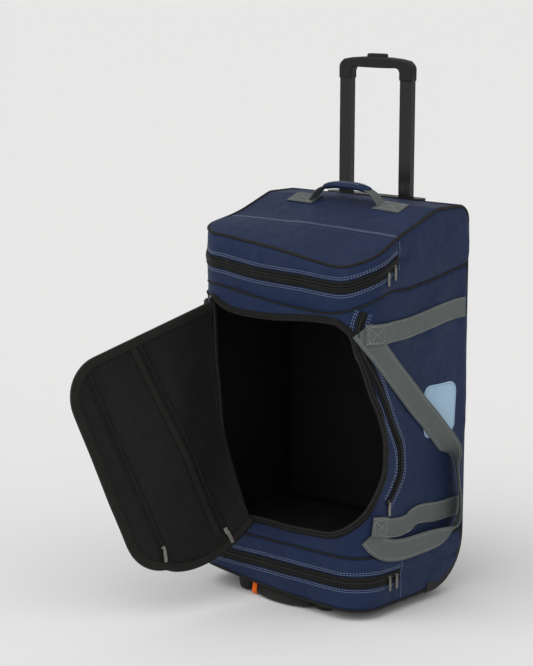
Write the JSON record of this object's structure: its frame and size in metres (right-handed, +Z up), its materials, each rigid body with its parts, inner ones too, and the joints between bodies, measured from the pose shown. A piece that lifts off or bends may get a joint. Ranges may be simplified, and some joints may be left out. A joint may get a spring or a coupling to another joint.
{
  "type": "rolling duffel bag",
  "caption": "Upright soft rolling duffel bag in navy fabric with an open front flap, trolley handle, wheels and webbing haul loops",
  "frame": {"origin": "on the floor plane, under the middle of the whole object with its flap at rest", "axes": "+Z up; -Y the front with the flap; +Y the back with the trolley handle; +X the bag's right side in the picture"},
  "size_m": [0.522, 0.67, 1.067],
  "materials": {
    "navy_fabric": "coarse navy polyester weave, matt",
    "black_lining": "thin black lining cloth",
    "grey_webbing": "flat grey webbing with stitched edges",
    "black_binding": "black binding tape over cord, ribbed",
    "black_zip": "black zip tape with coiled teeth",
    "black_plastic": "black moulded plastic, fine grain",
    "rubber": "black rubber",
    "black_tube": "glossy black on aluminium tube",
    "gunmetal": "dark nickel plating",
    "steel": "plain drawn metal",
    "orange": "bright orange woven tab"
  },
  "bodies": {
    "root": {"main_shell": "navy_fabric", "main_lining": "black_lining", "top_shell": "navy_fabric", "bottom_shell": "navy_fabric", "back_cover": "navy_fabric", "back_board": "black_plastic", "base_tray": "black_plastic", "zip_top": "black_zip", "zip_bottom": "black_zip", "zip_side": "black_zip", "piping_upper": "black_binding", "piping_lower": "black_binding", "strap_upper_left": "grey_webbing", "strap_lower_left": "grey_webbing", "strap_upper_right": "grey_webbing", "strap_lower_right": "grey_webbing", "top_handle_base": "grey_webbing", "trolley_bezel": "black_plastic", "sleeve_left": "steel", "sleeve_right": "steel", "wheel_housing_left": "black_plastic", "wheel_housing_right": "black_plastic", "axle_left": "steel", "axle_right": "steel", "foot_left": "rubber", "foot_right": "rubber"},
    "lid": {"top_lid": "navy_fabric"},
    "flap": {"flap_panel": "black_lining", "flap_binding": "black_binding", "flap_zip": "black_zip"},
    "trolley": {"tube_left": "black_tube", "tube_right": "black_tube", "lock_block_left": "black_plastic", "lock_block_right": "black_plastic", "grip": "black_plastic"},
    "button": {"release_button": "black_plastic", "push_yoke": "black_plastic"},
    "wheel_left": {"wheel_hub_left": "black_plastic", "tyre_left": "rubber"},
    "wheel_right": {"wheel_hub_right": "black_plastic", "tyre_right": "rubber"},
    "top_handle": {"top_handle": "navy_fabric"},
    "bottom_handle": {"bottom_handle": "black_binding", "bottom_handle_tab": "orange"},
    "haul_left": {"haul_loop_left": "grey_webbing"},
    "haul_right": {"haul_loop_right": "grey_webbing"},
    "slider_top_front_body": {"slider_top_front": "gunmetal"},
    "pull_top_front_body": {"pull_top_front": "gunmetal"},
    "slider_top_rear_body": {"slider_top_rear": "gunmetal"},
    "pull_top_rear_body": {"pull_top_rear": "gunmetal"},
    "slider_low_front_body": {"slider_low_front": "gunmetal"},
    "pull_low_front_body": {"pull_low_front": "gunmetal"},
    "slider_low_rear_body": {"slider_low_rear": "gunmetal"},
    "pull_low_rear_body": {"pull_low_rear": "gunmetal"},
    "slider_side_body": {"slider_side": "gunmetal"},
    "pull_side_body": {"pull_side": "gunmetal"},
    "slider_main_body": {"slider_main": "gunmetal"},
    "pull_main_body": {"pull_main": "gunmetal"},
    "slider_flap_body": {"slider_flap": "gunmetal"},
    "pull_flap_body": {"pull_flap": "gunmetal"}
  },
  "joints": [
    {"name": "lid_hinge", "type": "hinge", "parent": "root", "child": "lid", "pos_m": [0, 0.106, 0.73455], "axis": [-1, 0, 0], "range_deg": [0, 100]},
    {"name": "flap_hinge", "type": "hinge", "parent": "root", "child": "flap", "pos_m": [-0.165, 0.004, 0.585], "axis": [0.2317, 0, -0.9728], "range_deg": [-101.5, 25]},
    {"name": "trolley_slide", "type": "slide", "parent": "root", "child": "trolley", "axis": [0, 0, 1], "range_m": [-0.229, 0]},
    {"name": "button_slide", "type": "slide", "parent": "trolley", "child": "button", "axis": [0, 0, -1], "range_m": [0, 0.004], "stiffness_N_per_m": 600, "springref_m": -0.002},
    {"name": "wheel_spin_left", "type": "hinge", "parent": "root", "child": "wheel_left", "pos_m": [-0.167, 0.279, 0.045], "axis": [1, 0, 0], "continuous": true},
    {"name": "wheel_spin_right", "type": "hinge", "parent": "root", "child": "wheel_right", "pos_m": [0.167, 0.279, 0.045], "axis": [1, 0, 0], "continuous": true},
    {"name": "top_handle_hinge", "type": "hinge", "parent": "root", "child": "top_handle", "pos_m": [0.008, 0.21, 0.7815], "axis": [1, 0, 0], "range_deg": [-45, 45]},
    {"name": "bottom_handle_hinge", "type": "hinge", "parent": "root", "child": "bottom_handle", "pos_m": [0.01, 0.041, 0.0125], "axis": [1, 0, 0], "range_deg": [0, 75]},
    {"name": "haul_hinge_left", "type": "hinge", "parent": "root", "child": "haul_left", "pos_m": [-0.2215, 0.057, 0.36], "axis": [0, 0, 1], "range_deg": [0, 100]},
    {"name": "haul_hinge_right", "type": "hinge", "parent": "root", "child": "haul_right", "pos_m": [0.2215, 0.057, 0.36], "axis": [0, 0, -1], "range_deg": [0, 100]},
    {"name": "slide_top_front", "type": "slide", "parent": "root", "child": "slider_top_front_body", "axis": [0, 0.9119, 0.4104], "range_m": [-0.004, 0.006]},
    {"name": "pull_swing_top_front", "type": "hinge", "parent": "slider_top_front_body", "child": "pull_top_front_body", "pos_m": [0.2226, 0.075, 0.6738], "axis": [0, -1, 0], "range_deg": [0, 120]},
    {"name": "slide_top_rear", "type": "slide", "parent": "root", "child": "slider_top_rear_body", "axis": [0, 0.9119, 0.4104], "range_m": [-0.002, 0.004]},
    {"name": "pull_swing_top_rear", "type": "hinge", "parent": "slider_top_rear_body", "child": "pull_top_rear_body", "pos_m": [0.2226, 0.095, 0.6828], "axis": [0, -1, 0], "range_deg": [0, 120]},
    {"name": "slide_low_front", "type": "slide", "parent": "root", "child": "slider_low_front_body", "axis": [0, 1, 0], "range_m": [-0.02, 0.006]},
    {"name": "pull_swing_low_front", "type": "hinge", "parent": "slider_low_front_body", "child": "pull_low_front_body", "pos_m": [0.2226, 0.092, 0.0765], "axis": [0, -1, 0], "range_deg": [0, 120]},
    {"name": "slide_low_rear", "type": "slide", "parent": "root", "child": "slider_low_rear_body", "axis": [0, 1, 0], "range_m": [-0.002, 0.006]},
    {"name": "pull_swing_low_rear", "type": "hinge", "parent": "slider_low_rear_body", "child": "pull_low_rear_body", "pos_m": [0.2226, 0.113, 0.0765], "axis": [0, -1, 0], "range_deg": [0, 120]},
    {"name": "slide_side", "type": "slide", "parent": "root", "child": "slider_side_body", "axis": [0, 0.7021, 0.7121], "range_m": [0, 0.022]},
    {"name": "pull_swing_side", "type": "hinge", "parent": "slider_side_body", "child": "pull_side_body", "pos_m": [0.2226, 0.087, 0.227], "axis": [0, -1, 0], "range_deg": [0, 120]},
    {"name": "slide_main", "type": "slide", "parent": "root", "child": "slider_main_body", "axis": [1, 0, 0], "range_m": [0, 0.29]},
    {"name": "pull_swing_main", "type": "hinge", "parent": "slider_main_body", "child": "pull_main_body", "pos_m": [-0.17, 0.005, 0.5925], "axis": [-1, 0, 0], "range_deg": [0, 10]},
    {"name": "slide_flap", "type": "slide", "parent": "flap", "child": "slider_flap_body", "axis": [-0.2846, -0.2504, 0.9254], "range_m": [0, 0.34]},
    {"name": "pull_swing_flap", "type": "hinge", "parent": "slider_flap_body", "child": "pull_flap_body", "pos_m": [-0.09927, -0.20005, 0.13447], "axis": [-0.2483, -0.9687, 0], "range_deg": [0, 120]}
  ]
}
